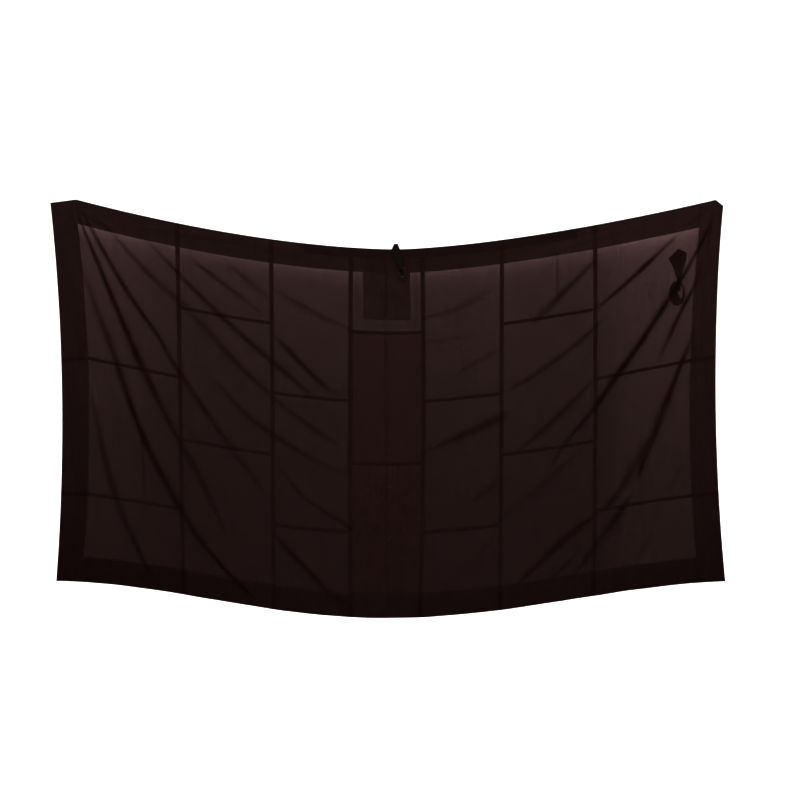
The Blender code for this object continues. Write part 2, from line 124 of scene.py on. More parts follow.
# Narrow creases that ride on the broad folds, each a run of places down the cloth. Every place has
# its x, drop below the origin, strength from 0 to 1, and half width; lengths are in millimetres.
CREASES = (
    # fan below the left hand
    ((-945, 120, 0, 12), (-925, 215, 0.30, 12), (-847, 421, 0.60, 17), (-764, 655, 0.92, 14),
     (-686, 820, 0.75, 17), (-592, 984, 0.65, 16), (-508, 1088, 0.92, 9), (-450, 1148, 0.70, 12),
     (-405, 1192, 0, 12)),
    ((-943, 10, 0, 6), (-940, 30, 0.50, 6), (-931, 66, 0.80, 7), (-857, 241, 1.00, 12),
     (-800, 375, 0.95, 14), (-755, 480, 0.85, 18), (-653, 685, 0.50, 13), (-577, 819, 0.46, 17),
     (-508, 970, 0.22, 11), (-480, 1040, 0, 11)),
    ((-930, 15, 0, 6), (-918, 45, 0.45, 8), (-905, 75, 0.80, 8), (-793, 268, 0.83, 12),
     (-700, 402, 0.75, 11), (-662, 470, 0.60, 11), (-536, 657, 0.53, 14), (-443, 786, 0.30, 14),
     (-402, 838, 0.30, 12), (-370, 880, 0, 12)),
    ((-905, 25, 0, 6), (-860, 72, 0.30, 7), (-835, 98, 0.35, 8), (-731, 212, 0.55, 14),
     (-604, 330, 0.42, 20), (-455, 491, 0.55, 13), (-338, 599, 0.33, 13), (-218, 691, 0.40, 17),
     (-150, 735, 0, 15)),
    ((-760, 95, 0, 8), (-722, 128, 0.35, 9), (-586, 268, 0.64, 11), (-436, 411, 0.60, 13),
     (-289, 537, 0.47, 14), (-215, 600, 0, 13)),
    ((-605, 165, 0, 9), (-583, 184, 0.53, 11), (-458, 280, 0.36, 12), (-402, 325, 0.27, 12),
     (-365, 352, 0, 10)),
    ((-505, 178, 0, 9), (-484, 189, 0.38, 11), (-400, 261, 0.32, 15), (-350, 300, 0, 12)),
    ((-545, 530, 0, 11), (-514, 551, 0.33, 12), (-428, 645, 0.42, 16), (-307, 726, 0.40, 13),
     (-199, 789, 0.20, 15), (-140, 818, 0, 14)),
    ((-915, 540, 0, 12), (-897, 600, 0.30, 14), (-860, 773, 0.54, 17), (-807, 935, 0.42, 17),
     (-770, 1020, 0.60, 16), (-738, 1085, 0.50, 14), (-715, 1135, 0, 12)),
    ((-640, 632, 0, 7), (-626, 652, 0.25, 8), (-582, 714, 0.25, 10), (-560, 740, 0, 8)),
    # swags from the left towards the middle
    ((-362, 250, 0, 9), (-344, 265, 0.30, 11), (-236, 329, 0.38, 15), (-142, 372, 0.25, 12),
     (-112, 384, 0, 10)),
    ((-375, 378, 0, 10), (-346, 405, 0.47, 15), (-259, 496, 0.80, 11), (-184, 567, 0.30, 13),
     (-140, 598, 0, 12)),
    ((-362, 762, 0, 9), (-345, 783, 0.30, 9), (-268, 878, 0.38, 8), (-200, 925, 0.30, 9),
     (-134, 968, 0.45, 13), (-112, 985, 0, 12)),
    ((-362, 975, 0, 14), (-349, 998, 0.40, 20), (-271, 1080, 0.62, 15), (-192, 1160, 0.42, 14),
     (-140, 1200, 0.20, 12), (-110, 1222, 0, 12)),
    # fan below the right hand
    ((962, 8, 0, 8), (952, 52, 0.45, 8), (937, 97, 0.90, 8), (887, 190, 0.90, 8), (826, 289, 0.95, 13),
     (744, 415, 1.00, 14), (670, 519, 1.00, 15), (601, 618, 0.75, 12), (521, 715, 0.56, 8),
     (484, 774, 0.47, 8), (455, 818, 0, 8)),
    ((575, 735, 0, 14), (545, 760, 0.20, 16), (439, 852, 0.24, 22), (337, 936, 0.22, 12),
     (305, 960, 0, 10)),
    ((890, 68, 0, 6), (848, 103, 0.40, 7), (775, 172, 0.90, 11), (702, 240, 0.88, 10),
     (625, 306, 0.60, 10), (608, 322, 0, 8)),
    ((615, 160, 0, 10), (594, 186, 0.40, 12), (503, 278, 0.60, 15), (440, 342, 0.43, 22),
     (405, 375, 0, 16)),
    ((650, 338, 0, 10), (622, 360, 0.45, 13), (532, 438, 0.52, 12), (406, 528, 0.46, 13),
     (352, 558, 0.38, 10), (330, 570, 0, 10)),
    ((615, 525, 0, 11), (588, 545, 0.35, 12), (494, 641, 0.53, 14), (384, 738, 0.34, 10),
     (352, 765, 0, 10)),
    ((930, 150, 0, 7), (910, 236, 0.60, 8), (869, 317, 0.95, 10), (806, 453, 0.40, 12), (795, 490, 0, 10)),
    ((905, 345, 0, 9), (893, 410, 0.55, 12), (857, 500, 0.94, 12), (807, 628, 0.79, 19),
     (757, 762, 0.65, 14), (738, 808, 0.50, 16), (725, 840, 0, 12)),
    ((760, 700, 0, 18), (755, 728, 0.35, 26), (681, 859, 0.60, 16), (648, 900, 0.53, 20),
     (620, 930, 0, 16)),
    ((712, 870, 0, 12), (694, 906, 0.70, 18), (629, 998, 0.42, 18), (550, 1105, 0.54, 10),
     (530, 1135, 0, 10)),
    ((620, 915, 0, 13), (606, 933, 0.43, 16), (508, 1012, 0.62, 18), (381, 1133, 0.43, 12),
     (362, 1150, 0, 12)),
    ((872, 785, 0, 9), (859, 807, 0.29, 11), (831, 859, 0.20, 11), (820, 880, 0, 10)),
    ((788, 985, 0, 11), (773, 1003, 0.26, 14), (733, 1066, 0.28, 8), (722, 1085, 0, 8)),
    ((545, 1050, 0, 10), (532, 1068, 0.32, 12), (490, 1113, 0.40, 11), (478, 1128, 0, 11)),
    # swags from the right towards the middle
    ((350, 615, 0, 18), (323, 641, 0.44, 26), (202, 700, 0.58, 16), (100, 745, 0.28, 12), (85, 757, 0, 12)),
    ((310, 265, 0, 20), (282, 268, 0.20, 26), (197, 316, 0.39, 14), (108, 342, 0.32, 13), (95, 348, 0, 12)),
    ((215, 398, 0, 12), (188, 405, 0.25, 14), (108, 416, 0.24, 14), (96, 418, 0, 12)),
    ((330, 975, 0, 12), (311, 988, 0.25, 14), (224, 1099, 0.22, 11), (208, 1118, 0, 11)),
    ((335, 805, 0, 18), (320, 829, 0.30, 22), (248, 889, 0.30, 14), (232, 903, 0, 12)),
    ((334, 432, 0, 9), (321, 438, 0.20, 10), (273, 464, 0.27, 11), (184, 520, 0.20, 12), (165, 530, 0, 10)),
    # gathers at the two hands
    ((-978, 6, 0, 6), (-962, 38, 0.30, 7), (-938, 108, 0.30, 7), (-925, 150, 0, 7)),
    ((-958, 6, 0, 5), (-915, 40, 0.25, 6), (-862, 71, 0.20, 6), (-830, 84, 0, 6)),
    ((972, 10, 0, 6), (960, 50, 0.30, 7), (946, 120, 0.30, 7), (935, 165, 0, 7)),
    ((955, 8, 0, 5), (925, 36, 0.28, 6), (880, 66, 0.25, 6), (850, 80, 0, 6)),
    ((982, 25, 0, 5), (984, 70, 0.25, 6), (977, 140, 0.20, 6), (972, 180, 0, 6)),
    # pressed fold lines
    ((-20, 150, 0, 5), (-20, 220, 0.55, 5), (-20, 420, 0.50, 5), (-19, 700, 0.35, 5), (-18, 1150, 0.25, 5),
     (-18, 1235, 0, 5)),
    ((-746, 630, 0, 5), (-746, 700, 0.36, 5), (-745, 860, 0.34, 5), (-745, 940, 0, 5)),
    ((492, 125, 0, 5), (494, 180, 0.40, 5), (496, 300, 0.32, 5), (497, 352, 0, 5)),
    ((743, 695, 0, 5), (743, 760, 0.36, 5), (743, 850, 0.15, 5), (743, 930, 0.36, 5), (743, 1000, 0, 5)),
)
CREASE_RISE = 6 * MM
CREASE_UNEVEN, CREASE_UNEVEN_TURNS = 0.12, 9
CREASE_POINT, CREASE_POINT_WIDTH = 0.10, 0.45
# Ridge shape; CREASE_CORE is the width of the painted dark line of bunched and shaded cloth, as a share of
# the half width
RIDGE_OFFSET, RIDGE_UPPER, RIDGE_LOWER, CREASE_CORE = 0.6, 1.6, 0.85, 0.66
CREASE_STEPS, CREASE_REACH = 9, 3

# Fine streaks that fan out from the two hands: place of each hand, then height, turns a radian, phase
HANDS = ((-0.965, 0.030), (0.965, 0.030))
STREAKS = ((0.95 * MM, 7.5, 0.3), (0.70 * MM, 11.9, 2.0), (0.48 * MM, 19.3, 4.1), (0.32 * MM, 29.0, 1.2))
STREAK_BEND, STREAK_BEND_TURNS, STREAK_SHIFT = 0.04, 5, 2.5
STREAK_START, STREAK_RISE, STREAK_FADE = 0.10, 0.30, 0.9

# Puckers along the seams. In brackets: shift of phase from seam to seam, unevenness and its turns.
PUCKER_HEIGHT, PUCKER_LENGTH, PUCKER_REACH, PUCKER_FADE = 0.5 * MM, 0.027, 0.016, 0.02
PUCKER_UPRIGHT, PUCKER_CROSS, PUCKER_CROSS_SHARE = (1.7, 3.1, 17), (2.3, 2.9, 13), 0.6

# Slack waves, flutes in the hem, and the relief that seams below a border press into it
WAVES = (
    # height in mm, waves a metre across and down, phase
    (1.3, 3.1, 1.7, 0.4),
    (0.9, 5.7, -2.3, 1.9),
    (0.7, -4.3, 4.9, 3.3),
    (0.5, 9.1, 3.7, 5.2),
    (0.4, -7.9, 8.3, 0.9),
)
WAVE_RISE, WAVE_AT_TOP, WAVE_GROWTH, WAVE_SIDE_FADE = 0.25, 0.55, 0.45, 0.10
HEM_FLUTE, HEM_FLUTE_FROM = 3.2 * MM, 0.75
HEM_FLUTES = ((0.6, 4.4, 0.8), (0.4, 7.1, 2.1))  # share, waves a metre, phase
HIDDEN_SEAM_RELIEF, HIDDEN_SEAM_SOFTNESS = 0.25 * MM, 2 * MM
HIDDEN_SEAM_SHADE = 0.50
HIDDEN_PATCH_SHADE = 0.15
FRAME_ROW_WIDTH, FRAME_ROW_RELIEF, FRAME_ROW_SHADE = 1.8 * MM, -0.15 * MM, 0.26

# Grid of the cut that all shells share
STEP = 5.0 * MM
RIM_STEPS = (0.25 * MM, 0.7 * MM, 1.5 * MM)

# Shells: back and front of each layer, measured from the middle of the cloth
PANEL_SHELL = (-0.20 * MM, 0.20 * MM)
DOUBLED_SHELL = (-0.55 * MM, 0.20 * MM)
BORDER_SHELL = (-0.60 * MM, 0.60 * MM)
ON_PANEL_SHELL = (0.35 * MM, 1.00 * MM)
ON_BORDER_SHELL = (0.80 * MM, 1.45 * MM)
RIM = 1.5 * MM
RIM_LEAST = 0.60

# Light that the sheer cloth lets through, both faces together, with painted backlight in it, and the change
# of dye with painted shade over the cut.
# A gain or fade in brackets is the most that it reaches, where it starts, and how far it takes.
THROUGH_LEAST, THROUGH_BROAD, THROUGH_NARROW = 0.0008, 0.0077, 0.0115
THROUGH_BROAD_DEPTH, THROUGH_NARROW_DEPTH = 0.38, 0.02
# Painted light: more light through on the right and towards the sides
THROUGH_RIGHT = (0.12, 1.2, 0.15)
THROUGH_FAR_RIGHT = (0.38, 1.65, 0.12)
THROUGH_SIDES = (0.72, 0.55, 0.4)
# Painted shade: the doubled panels and the border darken downwards, and the border is painted lighter on the
# right
DOUBLED_FADE = (0.12, 0.45, 0.5)
BORDER_RIGHT = (0.22, 1.2, 0.6)
BORDER_FADE, BORDER_MIDDLE_LESS, BORDER_FADE_POWER = 0.52, 0.24, 2.2
NECK_TONE = 0.78

# Stitches
STITCH_PITCH, STITCH_LENGTH, STITCH_RADIUS = 3.4 * MM, 2.5 * MM, 0.26 * MM
STITCH_SHOULDERS = (0.22, 0.78)  # where along it a stitch is thick
STITCH_FROM_EDGE = 1.6 * MM
FRAME_STITCH_ROWS = (7 * MM, 14 * MM, 21 * MM)
HEM_STITCH_FROM_EDGE = 4.0 * MM


# The hung surface


def smoothstep(x):
    x = np.clip(x, 0.0, 1.0)
    return x * x * (3 - 2 * x)


def strip_edges():
    return SIDE_BORDER + np.concatenate([[0], np.cumsum(STRIP_WIDTHS)])


def cross_seams(strip):
    """How far down the strip's two cross seams lie: the short piece is last in strips 1, 3, 5, 7."""
    pieces = (LONG_PIECE, LONG_PIECE) if strip % 2 == 0 else (SHORT_PIECE, LONG_PIECE)
    return TOP_BORDER + pieces[0], TOP_BORDER + pieces[0] + pieces[1]


def band_span(seam):
    """Where the band over upright seam 1 to 6 lies across: on the side nearer the middle strip."""
    edge = strip_edges()[seam]
    return (edge, edge + UPRIGHT_BAND) if seam <= 3 else (edge - UPRIGHT_BAND, edge)


def between_bands(strip):
    """Where a strip's cross bands lie across: its width less the upright bands that lie on it."""
    edges = strip_edges()
    left = band_span(strip)[1] if strip in (1, 2, 3) else edges[strip]
    right = band_span(strip + 1)[0] if strip + 1 in (4, 5, 6) else edges[strip + 1]
    return left, right


def top_edge(x):
    reach = np.where(x < TOP_LOW_X, TOP_LEFT_REACH, TOP_RIGHT_REACH)
    power = np.where(x < TOP_LOW_X, TOP_LEFT_POWER, TOP_RIGHT_POWER)
    sag = -TOP_SAG * (1 - (np.abs(x - TOP_LOW_X) / reach) ** power)
    left_corner = LEFT_CORNER_Z + LEFT_CORNER_SLOPE * (x - UPRIGHT_LINES[0][0])
    return np.minimum(sag, left_corner)


def corner_drop(x):
    """How far the top edge falls off at the right corner."""
    corner = np.clip((x - RIGHT_CORNER_FROM) / (UPRIGHT_LINES[-1][0] - RIGHT_CORNER_FROM), 0, 1)
    return RIGHT_CORNER_DROP * corner


def bottom_edge(x):
    reach = np.where(x < BOTTOM_LOW_X, BOTTOM_LEFT_REACH, BOTTOM_RIGHT_REACH)
    hang = np.cos(math.pi / 2 * np.clip(np.abs(x - BOTTOM_LOW_X) / reach, 0, 1))
    return BOTTOM_Z - BOTTOM_SAG * hang**BOTTOM_SAG_POWER


def fold_depth(x, drop):
    """How far the broad folds bring the cloth towards the viewer at a place."""
    depth = np.zeros_like(x)
    for row in FOLDS:
        fold = dict(zip(FOLD_COLUMNS, row))
        long = (fold["drop_end"] - fold["drop_start"]) * MM
        reach = (fold["x_end"] - fold["x_start"]) * MM
        share = (drop - fold["drop_start"] * MM) / long
        inside = np.clip(share, 0.001, 1)
        line = fold["x_start"] * MM + reach * inside ** fold["bend"]
        slope = reach * fold["bend"] * inside ** (fold["bend"] - 1) / long
        away = (x - line) / np.sqrt(1 + slope**2)
        ends = smoothstep(share / FOLD_FADE) * smoothstep((1 - share) / FOLD_FADE)
        depth += fold["height"] * MM * ends * np.exp(-((away / (fold["width"] * MM)) ** 2))
    return depth


def smooth_track(points):
    """A Catmull-Rom curve through the crease's places: x, drop, strength and half-width, in metres."""
    points = np.array(points, float) * (MM, MM, 1, MM)
    padded = np.vstack([2 * points[0] - points[1], points, 2 * points[-1] - points[-2]])
    track = []
    for a, b, c, d in zip(padded, padded[1:], padded[2:], padded[3:]):
        for u in np.linspace(0, 1, CREASE_STEPS, endpoint=False):
            track.append(
                0.5 * (2 * b + (c - a) * u + (2 * a - 5 * b + 4 * c - d) * u**2)
                + 0.5 * (3 * b - a - 3 * c + d) * u**3
            )
    track = np.array(track + [points[-1]])
    track[:, 2] = np.clip(track[:, 2], 0, 1)
    return track


def crease_layer(x, drop):
    """Depth that the narrow creases add, and the bunched cloth with painted shade in them, 0 to 1.

    Each crease is a ridge that falls off gently above and steeply below. Along the foot of its steep side
    lies a painted dark line: partly bunched cloth, partly painted shade of the lower slope.
    """
    depth, bunched_and_painted_shade = np.zeros_like(x), np.zeros_like(x)
    for points in CREASES:
        track = smooth_track(points)
        reach = CREASE_REACH * (RIDGE_OFFSET + RIDGE_UPPER) * track[:, 3].max()
        low, high = track[:, :2].min(0) - reach, track[:, :2].max(0) + reach
        near = (x > low[0]) & (x < high[0]) & (drop > low[1]) & (drop < high[1])
        px, pz = x[near], drop[near]
        best = np.full(px.shape, np.inf)
        signed, strength, width, passed = (np.ones(px.shape) for _ in range(4))
        travelled = 0.0
        for a, b in zip(track, track[1:]):
            run = b[:2] - a[:2]
            length = np.linalg.norm(run)
            along = np.clip(((px - a[0]) * run[0] + (pz - a[1]) * run[1]) / length**2, 0, 1)
            dx, dz = px - a[0] - along * run[0], pz - a[1] - along * run[1]
            distance = np.hypot(dx, dz)
            closer = distance < best
            upwards = 1 if run[0] >= 0 else -1
            side = np.sign((run[1] * dx - run[0] * dz) * upwards)
            best[closer] = distance[closer]
            signed[closer] = (side * distance)[closer]
            strength[closer] = (a[2] + (b[2] - a[2]) * along)[closer]
            width[closer] = (a[3] + (b[3] - a[3]) * along)[closer]
            passed[closer] = (travelled + along * length)[closer]
            travelled += length
        from_end = smoothstep(np.minimum(passed, travelled - passed) / CREASE_POINT)
        width *= CREASE_POINT_WIDTH + (1 - CREASE_POINT_WIDTH) * from_end
        uneven = 1 + CREASE_UNEVEN * np.sin(2 * math.pi * CREASE_UNEVEN_TURNS * passed + points[0][0])
        ridge = signed / width - RIDGE_OFFSET
        ridge /= np.where(ridge > 0, RIDGE_UPPER, RIDGE_LOWER)
        depth[near] += CREASE_RISE * strength * uneven * np.exp(-(ridge**2))
        # Painted shade: a dark line of bunched and shaded cloth at the foot of the ridge's steep side
        bunched_and_painted_shade[near] += strength * uneven * np.exp(-((signed / (CREASE_CORE * width)) ** 2))
    return depth, np.clip(bunched_and_painted_shade, 0, 1)


def streak_layer(x, drop):
    """Many faint streaks between the creases, fanned out from each hand and fading with distance."""
    depth = np.zeros_like(x)
    for hand_x, hand_drop in HANDS:
        away, down = np.abs(x - hand_x), drop - hand_drop
        distance = np.hypot(away, down)
        turn = np.arctan2(down, away)
        turn = turn + STREAK_BEND * np.sin(STREAK_BEND_TURNS * distance + hand_x)
        fade = smoothstep((distance - STREAK_START) / STREAK_RISE) * np.exp(-distance / STREAK_FADE)
        for height, turns, phase in STREAKS:
            depth += height * fade * np.sin(2 * math.pi * turns * turn + phase + STREAK_SHIFT * hand_x)
    return depth


def ripples(place, seam, shift, uneven, turns):
    """Ripples along one seam, unevenly spaced and different from seam to seam."""
    return np.sin(2 * math.pi * place / PUCKER_LENGTH + shift * seam + uneven * np.sin(turns * place + seam))


def pucker_layer(s, t):
    """Small ripples that run into the seams."""
    depth = np.zeros_like(s)
    low, high = INSIDE_T
    inside = smoothstep((t - low) / PUCKER_FADE) * smoothstep((high - t) / PUCKER_FADE)
    for seam, edge in enumerate(strip_edges()):
        depth += inside * ripples(t, seam, *PUCKER_UPRIGHT) * np.exp(-np.abs(s - edge) / PUCKER_REACH)
    for seam, line in enumerate((*INSIDE_T, *cross_seams(0), *cross_seams(1))):
        ripple = ripples(s, seam, *PUCKER_CROSS)
        depth += PUCKER_CROSS_SHARE * ripple * np.exp(-np.abs(t - line) / PUCKER_REACH)
    return PUCKER_HEIGHT * depth


def wave_layer(s, t):
    """Slack in the cloth: low waves that grow towards the bottom, and shallow flutes in the hem."""
    depth = np.zeros_like(s)
    for height, across, down, phase in WAVES:
        depth += height * MM * np.sin(2 * math.pi * (across * s + down * t) + phase)
    grow = smoothstep(t / WAVE_RISE) * (WAVE_AT_TOP + WAVE_GROWTH * t / HEIGHT)
    flute = sum(share * np.sin(2 * math.pi * waves * s + phase) for share, waves, phase in HEM_FLUTES)
    sides = smoothstep(s / WAVE_SIDE_FADE) * smoothstep((WIDTH - s) / WAVE_SIDE_FADE)
    towards_hem = smoothstep((t - HEM_FLUTE_FROM) / (HEIGHT - HEM_FLUTE_FROM))
    return depth * grow * sides + HEM_FLUTE * flute * towards_hem * sides


def hung(s, t):
    """Places of the flat cloth's points on the hung cloth, and the bunched cloth and painted crease shade
    there.
    """
    flat_lines = [0, *strip_edges(), WIDTH]
    x_top, x_middle, x_bottom = (np.interp(s, flat_lines, line) for line in zip(*UPRIGHT_LINES))
    b = t / HEIGHT
    x = x_top * (1 - b) + x_bottom * b + 4 * b * (1 - b) * (x_middle - (x_top + x_bottom) / 2)
    z = top_edge(x_top) * (1 - b) + bottom_edge(x_bottom) * b
    z = z - corner_drop(x_top) * (1 - b) ** CORNER_DROP_POWER
    belly = BELLY * smoothstep((t - BELLY_FROM) / HEIGHT) * np.sin(math.pi * s / WIDTH)
    creased, bunched_and_painted_shade = crease_layer(x, -z)
    depth = belly + fold_depth(x, -z) + creased + streak_layer(x, -z) + pucker_layer(s, t) + wave_layer(s, t)
    return np.stack([x, -depth, z], axis=-1), bunched_and_painted_shade


def shared_lines(stops, rims, size):
    """Grid lines at most STEP apart that pass through all stops, with finer lines inside the rims."""
    fine = [edge + side * step for edge, side in rims for step in RIM_STEPS]
    stops = sorted(set(np.round([0, size, *stops, *fine], 5)))
    lines = [stops[0]]
    for low, high in zip(stops, stops[1:]):
        steps = max(1, math.ceil((high - low) / STEP - 1e-6))
        lines += [low + (high - low) * k / steps for k in range(1, steps + 1)]
    return np.array(lines)


def make_grid():
    """Lines of the shared grid across and down: through every edge of a piece, finer beside it."""
    bands = [band_span(seam) for seam in range(1, 7)]
    across_rims = [(0, 1), (INSIDE_S[0], -1), (INSIDE_S[1], 1), (WIDTH, -1)]
    for low, high in (*bands, PATCH_SPAN, COLLAR_SPAN):
        across_rims += [(low, 1), (high, -1)]
    down_rims = [(0, 1), (INSIDE_T[0], -1), (INSIDE_T[1], 1), (HEIGHT, -1)]
    down_rims += [(COLLAR_DEPTH, -1), (TOP_BORDER, 1), (PATCH_BOTTOM, -1)]
    for seam in (*cross_seams(0), *cross_seams(1)):
        down_rims += [(seam - CROSS_BAND, 1), (seam, -1)]
    across = shared_lines([*strip_edges(), *(edge for edge, _ in across_rims)], across_rims, WIDTH)
    down = shared_lines([edge for edge, _ in down_rims], down_rims, HEIGHT)
    return across, down


ACROSS, DOWN = make_grid()
S, T = np.meshgrid(ACROSS, DOWN)
# Bunched cloth and painted shade along the creases, 0 to 1
PLACE, BUNCHED_AND_PAINTED_SHADE = hung(S, T)


def grid_normals(place):
    """Unit normals of the shared grid, towards the viewer."""
    normal = np.cross(np.gradient(place, axis=0), np.gradient(place, axis=1))
    return normal / np.linalg.norm(normal, axis=-1, keepdims=True)


NORMAL = grid_normals(PLACE)


# Shells


def new_object(name, points, faces, material):
    mesh = bpy.data.meshes.new(name)
    mesh.from_pydata(points.tolist(), [], faces)
    mesh.materials.append(material)
    mesh.shade_smooth()
    piece = bpy.data.objects.new(name, mesh)
    bpy.context.scene.collection.objects.link(piece)
    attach(piece, "root")
    return piece


def add_uv(mesh, flat):
    """The cut's own coordinates, in metres, as a UV map."""
    corner_vertex = np.empty(len(mesh.loops), np.int32)
    mesh.loops.foreach_get("vertex_index", corner_vertex)
    layer = mesh.uv_layers.new(name="cut")
    layer.data.foreach_set("uv", flat[corner_vertex].astype(np.float32).ravel())


def add_values(mesh, name, values):
    attribute = mesh.attributes.new(name, "FLOAT", "POINT")
    attribute.data.foreach_set("value", values.astype(np.float32).ravel())


def index_of(lines, place):
    return int(np.argmin(np.abs(lines - place)))


def gain(place, most, start, length):
    """A share that grows smoothly from nothing to its most past a place on the cut."""
    return most * smoothstep((place - start) / length)


def through_with_painted_backlight(s, t):
    """Share of light that passes one face of the sheer cloth, with painted backlight in it: most just below
    the top border, then less, and more on the right and towards the sides.
    """
    below = np.maximum(t - TOP_BORDER, 0)
    passed = THROUGH_LEAST + THROUGH_BROAD * np.exp(-below / THROUGH_BROAD_DEPTH)
    passed = passed + THROUGH_NARROW * np.exp(-below / THROUGH_NARROW_DEPTH)
    right = gain(s, *THROUGH_RIGHT) + gain(s, *THROUGH_FAR_RIGHT)
    sides = gain(np.abs(s - WIDTH / 2), *THROUGH_SIDES)
    return np.sqrt(passed * (1 + right + sides))


def even_dye(s, t):
    """Tone of a piece whose dye is the same all over; the others scale it."""
    return np.ones_like(s)


def doubled_painted_shade(s, t):
    """Painted shade on the doubled middle panels: darker downwards."""
    return 1 - gain(t, *DOUBLED_FADE)


def border_painted_shade(s, t):
    """Painted shade and light on the border: darker downwards, least so in the middle, and lighter on the
    right.
    """
    middle = np.sin(math.pi * s / WIDTH) ** 2
    fade = (BORDER_FADE - BORDER_MIDDLE_LESS * middle) * (t / HEIGHT) ** BORDER_FADE_POWER
    return (1 - fade) * (1 + gain(s, *BORDER_RIGHT))


def neck_dye(s, t):
    return np.full_like(s, NECK_TONE)


def shell(node, s_span, t_span, layer, material, both_rims=False, shade=None, dye_and_painted_shade=even_dye):
    """A thin closed shell over part of the cut that takes the place of the CAD node of that name."""
    i0, i1 = (index_of(ACROSS, place) for place in s_span)
    j0, j1 = (index_of(DOWN, place) for place in t_span)
    part = (slice(j0, j1 + 1), slice(i0, i1 + 1))
    s, t, place, normal, bunched_and_painted_shade = S[part], T[part], PLACE[part], NORMAL[part], BUNCHED_AND_PAINTED_SHADE[part]
    rows, columns = s.shape
    back, front = layer
    from_edge = np.minimum(np.minimum(s - s[0, 0], s[0, -1] - s), np.minimum(t - t[0, 0], t[-1, 0] - t))
    rim = np.sqrt(1 - (1 - np.clip(from_edge / RIM, 0, 1)) ** 2)
    rim = RIM_LEAST + (1 - RIM_LEAST) * rim
    extra, darker = (np.zeros_like(s), np.zeros_like(s)) if shade is None else shade(s, t)
    if both_rims:
        middle, half = (back + front) / 2, (front - back) / 2
        front_lift, back_lift = middle + half * rim + extra, middle - half * rim
    else:
        front_lift, back_lift = back + (front - back) * rim + extra, np.full_like(s, back)
    front_points = place + normal * front_lift[..., None]
    back_points = place + normal * back_lift[..., None]
    points = np.concatenate([front_points.reshape(-1, 3), back_points.reshape(-1, 3)])
    number = np.arange(rows * columns).reshape(rows, columns)
    a, b, c, d = number[:-1, :-1], number[1:, :-1], number[1:, 1:], number[:-1, 1:]
    half_count = rows * columns
    faces = np.stack([a, b, c, d], -1).reshape(-1, 4).tolist()
    faces += (np.stack([d, c, b, a], -1) + half_count).reshape(-1, 4).tolist()
    rim_loop = [*number[0, :], *number[1:, -1], *number[-1, -2::-1], *number[-2:0:-1, 0]]
    for p, q in zip(rim_loop, rim_loop[1:] + rim_loop[:1]):
        faces.append((int(p), int(q), int(q) + half_count, int(p) + half_count))
    piece = new_object(node + "_cloth", points, faces, material)
    flat = np.stack([s, t], -1).reshape(-1, 2)
    add_uv(piece.data, np.concatenate([flat, flat]))
    # Bunched cloth with painted shade: the creases' dark lines, plus the shade of hidden seams and stitched
    # rows
    bunch_and_painted_shade = np.clip(bunched_and_painted_shade + darker, 0, 1).reshape(-1)
    add_values(piece.data, "bunched_and_painted_shade", np.concatenate([bunch_and_painted_shade, bunch_and_painted_shade]))
    for name, values in (("through", through_with_painted_backlight(s, t)), ("dye_and_painted_shade", dye_and_painted_shade(s, t))):
        add_values(piece.data, name, np.concatenate([values.reshape(-1)] * 2))
    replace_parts(piece, node)
    return piece


def frame_rows(s, t):
    """Relief and shade of the stitched rows beside and below the neck patch."""
    row = np.zeros_like(s)
    outside = np.abs(s - WIDTH / 2) - PATCH_HALF_WIDTH
    below = t - PATCH_BOTTOM
    away = np.maximum(outside, below)
    for place in FRAME_STITCH_ROWS:
        row = np.maximum(row, np.exp(-(((away - place) / FRAME_ROW_WIDTH) ** 2)))
    return row * FRAME_ROW_RELIEF, row * FRAME_ROW_SHADE


def soft_span(place, low, high):
    """1 between two lines of the cut and 0 outside them, with soft ends."""
    rise = smoothstep((place - low) / HIDDEN_SEAM_SOFTNESS + 0.5)
    return rise * smoothstep((high - place) / HIDDEN_SEAM_SOFTNESS + 0.5)


def hidden_seams(s, t):
    """Relief and shade on a border where the strips' bands run on below it."""
    relief = np.zeros_like(s)
    on_ends = (t < INSIDE_T[0]) | (t > INSIDE_T[1])
    for seam in range(1, 7):
        relief = np.maximum(relief, soft_span(s, *band_span(seam)) * on_ends)
    on_sides = (s < INSIDE_S[0]) | (s > INSIDE_S[1])
    for seam in cross_seams(0):
        relief = np.maximum(relief, soft_span(t, seam - CROSS_BAND, seam) * on_sides)
    patch = (np.abs(s - WIDTH / 2) < PATCH_HALF_WIDTH) & (t < TOP_BORDER)
    return relief * HIDDEN_SEAM_RELIEF, np.maximum(relief * HIDDEN_SEAM_SHADE, patch * HIDDEN_PATCH_SHADE)


# Materials


